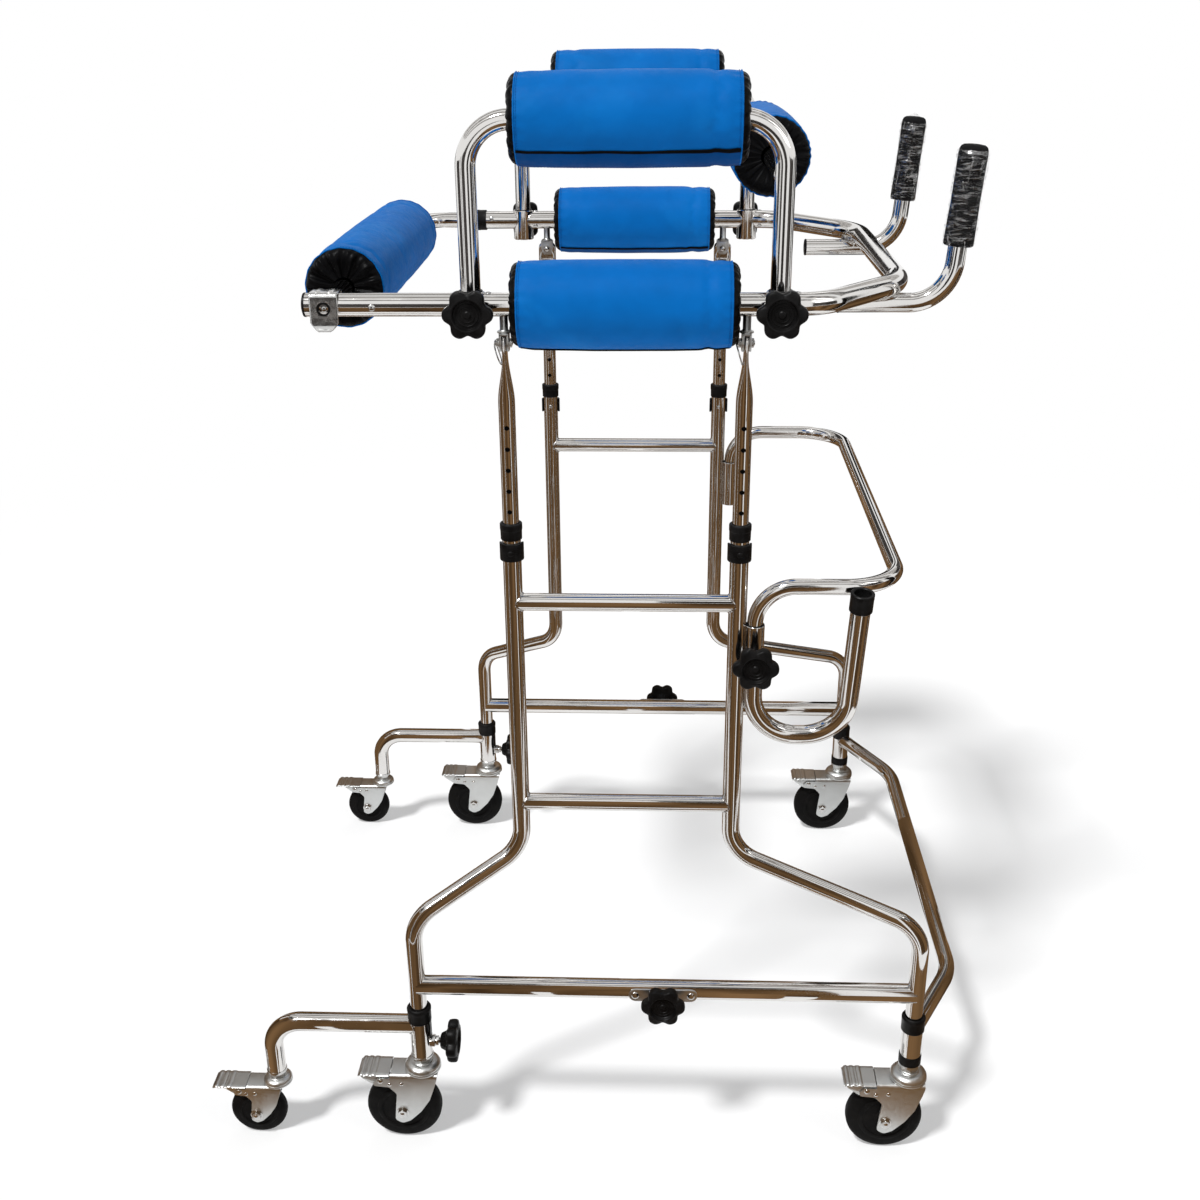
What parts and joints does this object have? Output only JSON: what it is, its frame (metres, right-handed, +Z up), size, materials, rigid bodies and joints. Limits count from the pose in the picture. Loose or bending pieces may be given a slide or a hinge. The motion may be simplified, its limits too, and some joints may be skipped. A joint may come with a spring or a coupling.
{
  "type": "gait trainer",
  "caption": "Wheeled steel gait trainer with an open padded ring, arm and chest supports, rear swing gate, push handles and braked swivel casters.",
  "frame": {"origin": "on the floor under the middle of the footprint's box", "axes": "+X the way the user walks, +Y the user's left, +Z up"},
  "size_m": [1.003, 0.862, 1.349],
  "materials": {
    "chrome": "bright chromed steel tube, smooth welds",
    "zinc_plate": "zinc plated pressed steel, satin",
    "black_nylon": "matte black moulded nylon",
    "black_rubber": "black moulded rubber on a black hub",
    "blue_cloth": "blue woven cover over foam, black gathered end caps",
    "black_foam": "black foam sleeve under clear film"
  },
  "bodies": {
    "base": {"side_frame_right": "chrome", "side_frame_left": "chrome", "front_base_bar": "chrome", "leg_ferrule_rear_right": "black_nylon", "leg_ferrule_front_right": "black_nylon", "leg_ferrule_rear_left": "black_nylon", "leg_ferrule_front_left": "black_nylon"},
    "ring": {"ring_frame": "chrome", "gate_collar": "black_nylon", "inner_leg_rear_right": "chrome", "inner_leg_front_right": "chrome", "inner_leg_rear_left": "chrome", "inner_leg_front_left": "chrome", "side_pad_right": "blue_cloth", "side_pad_left": "blue_cloth", "grip_right": "black_foam", "grip_left": "black_foam"},
    "arches": {"arch_frame": "chrome", "arm_pad_right": "blue_cloth", "arm_pad_left": "blue_cloth", "chest_pad": "blue_cloth"},
    "gate": {"gate_tube": "chrome", "gate_pad": "blue_cloth", "gate_latch": "zinc_plate"},
    "snap_button": {"snap_button": "zinc_plate"},
    "loop": {"middle_loop": "chrome"},
    "height_clip_rear_right": {"height_clip_rear_right": "black_nylon"},
    "ring_knob_rear_right": {"ring_knob_rear_right": "black_nylon"},
    "height_clip_front_right": {"height_clip_front_right": "black_nylon"},
    "ring_knob_front_right": {"ring_knob_front_right": "black_nylon"},
    "rail_knob_right": {"rail_knob_right": "black_nylon"},
    "loop_knob_right": {"loop_knob_right": "black_nylon"},
    "outrigger_right": {"outrigger_right": "chrome"},
    "outrigger_knob_right": {"outrigger_knob_right": "black_nylon"},
    "fork_rear_right": {"fork_rear_right": "zinc_plate"},
    "wheel_rear_right": {"wheel_rear_right": "black_rubber"},
    "pedal_rear_right": {"pedal_rear_right": "zinc_plate"},
    "fork_outrigger_right": {"fork_outrigger_right": "zinc_plate"},
    "wheel_outrigger_right": {"wheel_outrigger_right": "black_rubber"},
    "pedal_outrigger_right": {"pedal_outrigger_right": "zinc_plate"},
    "fork_front_right": {"fork_front_right": "zinc_plate"},
    "wheel_front_right": {"wheel_front_right": "black_rubber"},
    "pedal_front_right": {"pedal_front_right": "zinc_plate"},
    "height_clip_rear_left": {"height_clip_rear_left": "black_nylon"},
    "ring_knob_rear_left": {"ring_knob_rear_left": "black_nylon"},
    "height_clip_front_left": {"height_clip_front_left": "black_nylon"},
    "ring_knob_front_left": {"ring_knob_front_left": "black_nylon"},
    "rail_knob_left": {"rail_knob_left": "black_nylon"},
    "loop_knob_left": {"loop_knob_left": "black_nylon"},
    "outrigger_left": {"outrigger_left": "chrome"},
    "outrigger_knob_left": {"outrigger_knob_left": "black_nylon"},
    "fork_rear_left": {"fork_rear_left": "zinc_plate"},
    "wheel_rear_left": {"wheel_rear_left": "black_rubber"},
    "pedal_rear_left": {"pedal_rear_left": "zinc_plate"},
    "fork_outrigger_left": {"fork_outrigger_left": "zinc_plate"},
    "wheel_outrigger_left": {"wheel_outrigger_left": "black_rubber"},
    "pedal_outrigger_left": {"pedal_outrigger_left": "zinc_plate"},
    "fork_front_left": {"fork_front_left": "zinc_plate"},
    "wheel_front_left": {"wheel_front_left": "black_rubber"},
    "pedal_front_left": {"pedal_front_left": "zinc_plate"}
  },
  "joints": [
    {"name": "height_slide", "type": "slide", "parent": "base", "child": "ring", "axis": [0, 0, 1], "range_m": [-0.15, 0.075]},
    {"name": "arm_support_slide", "type": "slide", "parent": "ring", "child": "arches", "axis": [0, 0, 1], "range_m": [-0.075, 0.02]},
    {"name": "gate_swing", "type": "hinge", "parent": "ring", "child": "gate", "pos_m": [-0.1855, 0.32, 1.108], "axis": [-1, 0, 0], "range_deg": [0, 270]},
    {"name": "snap_button_press", "type": "slide", "parent": "ring", "child": "snap_button", "axis": [0, 1, 0], "range_m": [0, 0.004], "stiffness_N_per_m": 800},
    {"name": "loop_slide", "type": "slide", "parent": "base", "child": "loop", "axis": [0, 0, 1], "range_m": [0, 0.03]},
    {"name": "height_clip_rear_right_pull", "type": "slide", "parent": "base", "child": "height_clip_rear_right", "axis": [0, -1, 0], "range_m": [0, 0.02]},
    {"name": "ring_knob_rear_right_turn", "type": "hinge", "parent": "ring", "child": "ring_knob_rear_right", "pos_m": [-0.1185, -0.3348, 1.104], "axis": [0, -1, 0], "continuous": true},
    {"name": "height_clip_front_right_pull", "type": "slide", "parent": "base", "child": "height_clip_front_right", "axis": [0, -1, 0], "range_m": [0, 0.02]},
    {"name": "ring_knob_front_right_turn", "type": "hinge", "parent": "ring", "child": "ring_knob_front_right", "pos_m": [0.2175, -0.3348, 1.104], "axis": [0, -1, 0], "continuous": true},
    {"name": "rail_knob_right_turn", "type": "hinge", "parent": "base", "child": "rail_knob_right", "pos_m": [0.0985, -0.404, 0.246], "axis": [0, -1, 0], "continuous": true},
    {"name": "loop_knob_right_turn", "type": "hinge", "parent": "base", "child": "loop_knob_right", "pos_m": [0.2037, -0.3367, 0.687], "axis": [0, -1, 0], "continuous": true},
    {"name": "outrigger_right_swing", "type": "hinge", "parent": "base", "child": "outrigger_right", "pos_m": [-0.2185, -0.39, 0.183], "axis": [0, 0, -1], "range_deg": [0, 90]},
    {"name": "outrigger_knob_right_turn", "type": "hinge", "parent": "outrigger_right", "child": "outrigger_knob_right", "pos_m": [-0.1995, -0.39, 0.156], "axis": [1, 0, 0], "continuous": true},
    {"name": "caster_rear_right_swivel", "type": "hinge", "parent": "outrigger_right", "child": "fork_rear_right", "pos_m": [-0.2185, -0.39, 0.133], "axis": [0, 0, 1], "continuous": true},
    {"name": "caster_rear_right_roll", "type": "hinge", "parent": "fork_rear_right", "child": "wheel_rear_right", "pos_m": [-0.2465, -0.39, 0.05], "axis": [0, 1, 0], "continuous": true},
    {"name": "caster_rear_right_brake", "type": "hinge", "parent": "fork_rear_right", "child": "pedal_rear_right", "pos_m": [-0.2735, -0.39, 0.1015], "axis": [0, -1, 0], "range_deg": [0, 15]},
    {"name": "caster_outrigger_right_swivel", "type": "hinge", "parent": "outrigger_right", "child": "fork_outrigger_right", "pos_m": [-0.4155, -0.39, 0.101], "axis": [0, 0, 1], "continuous": true},
    {"name": "caster_outrigger_right_roll", "type": "hinge", "parent": "fork_outrigger_right", "child": "wheel_outrigger_right", "pos_m": [-0.4455, -0.39, 0.0375], "axis": [0, 1, 0], "continuous": true},
    {"name": "caster_outrigger_right_brake", "type": "hinge", "parent": "fork_outrigger_right", "child": "pedal_outrigger_right", "pos_m": [-0.46575, -0.39, 0.07612], "axis": [0, -1, 0], "range_deg": [0, 15]},
    {"name": "caster_front_right_swivel", "type": "hinge", "parent": "base", "child": "fork_front_right", "pos_m": [0.4205, -0.39, 0.133], "axis": [0, 0, 1], "continuous": true},
    {"name": "caster_front_right_roll", "type": "hinge", "parent": "fork_front_right", "child": "wheel_front_right", "pos_m": [0.3925, -0.39, 0.05], "axis": [0, 1, 0], "continuous": true},
    {"name": "caster_front_right_brake", "type": "hinge", "parent": "fork_front_right", "child": "pedal_front_right", "pos_m": [0.3655, -0.39, 0.1015], "axis": [0, -1, 0], "range_deg": [0, 15]},
    {"name": "height_clip_rear_left_pull", "type": "slide", "parent": "base", "child": "height_clip_rear_left", "axis": [0, 1, 0], "range_m": [0, 0.02]},
    {"name": "ring_knob_rear_left_turn", "type": "hinge", "parent": "ring", "child": "ring_knob_rear_left", "pos_m": [-0.1185, 0.3348, 1.104], "axis": [0, 1, 0], "continuous": true},
    {"name": "height_clip_front_left_pull", "type": "slide", "parent": "base", "child": "height_clip_front_left", "axis": [0, 1, 0], "range_m": [0, 0.02]},
    {"name": "ring_knob_front_left_turn", "type": "hinge", "parent": "ring", "child": "ring_knob_front_left", "pos_m": [0.2175, 0.3348, 1.104], "axis": [0, 1, 0], "continuous": true},
    {"name": "rail_knob_left_turn", "type": "hinge", "parent": "base", "child": "rail_knob_left", "pos_m": [0.0985, 0.404, 0.246], "axis": [0, 1, 0], "continuous": true},
    {"name": "loop_knob_left_turn", "type": "hinge", "parent": "base", "child": "loop_knob_left", "pos_m": [0.2037, 0.3367, 0.687], "axis": [0, 1, 0], "continuous": true},
    {"name": "outrigger_left_swing", "type": "hinge", "parent": "base", "child": "outrigger_left", "pos_m": [-0.2185, 0.39, 0.183], "axis": [0, 0, 1], "range_deg": [0, 90]},
    {"name": "outrigger_knob_left_turn", "type": "hinge", "parent": "outrigger_left", "child": "outrigger_knob_left", "pos_m": [-0.1995, 0.39, 0.156], "axis": [1, 0, 0], "continuous": true},
    {"name": "caster_rear_left_swivel", "type": "hinge", "parent": "outrigger_left", "child": "fork_rear_left", "pos_m": [-0.2185, 0.39, 0.133], "axis": [0, 0, 1], "continuous": true},
    {"name": "caster_rear_left_roll", "type": "hinge", "parent": "fork_rear_left", "child": "wheel_rear_left", "pos_m": [-0.2465, 0.39, 0.05], "axis": [0, 1, 0], "continuous": true},
    {"name": "caster_rear_left_brake", "type": "hinge", "parent": "fork_rear_left", "child": "pedal_rear_left", "pos_m": [-0.2735, 0.39, 0.1015], "axis": [0, -1, 0], "range_deg": [0, 15]},
    {"name": "caster_outrigger_left_swivel", "type": "hinge", "parent": "outrigger_left", "child": "fork_outrigger_left", "pos_m": [-0.4155, 0.39, 0.101], "axis": [0, 0, 1], "continuous": true},
    {"name": "caster_outrigger_left_roll", "type": "hinge", "parent": "fork_outrigger_left", "child": "wheel_outrigger_left", "pos_m": [-0.4455, 0.39, 0.0375], "axis": [0, 1, 0], "continuous": true},
    {"name": "caster_outrigger_left_brake", "type": "hinge", "parent": "fork_outrigger_left", "child": "pedal_outrigger_left", "pos_m": [-0.46575, 0.39, 0.07612], "axis": [0, -1, 0], "range_deg": [0, 15]},
    {"name": "caster_front_left_swivel", "type": "hinge", "parent": "base", "child": "fork_front_left", "pos_m": [0.4205, 0.39, 0.133], "axis": [0, 0, 1], "continuous": true},
    {"name": "caster_front_left_roll", "type": "hinge", "parent": "fork_front_left", "child": "wheel_front_left", "pos_m": [0.3925, 0.39, 0.05], "axis": [0, 1, 0], "continuous": true},
    {"name": "caster_front_left_brake", "type": "hinge", "parent": "fork_front_left", "child": "pedal_front_left", "pos_m": [0.3655, 0.39, 0.1015], "axis": [0, -1, 0], "range_deg": [0, 15]}
  ]
}
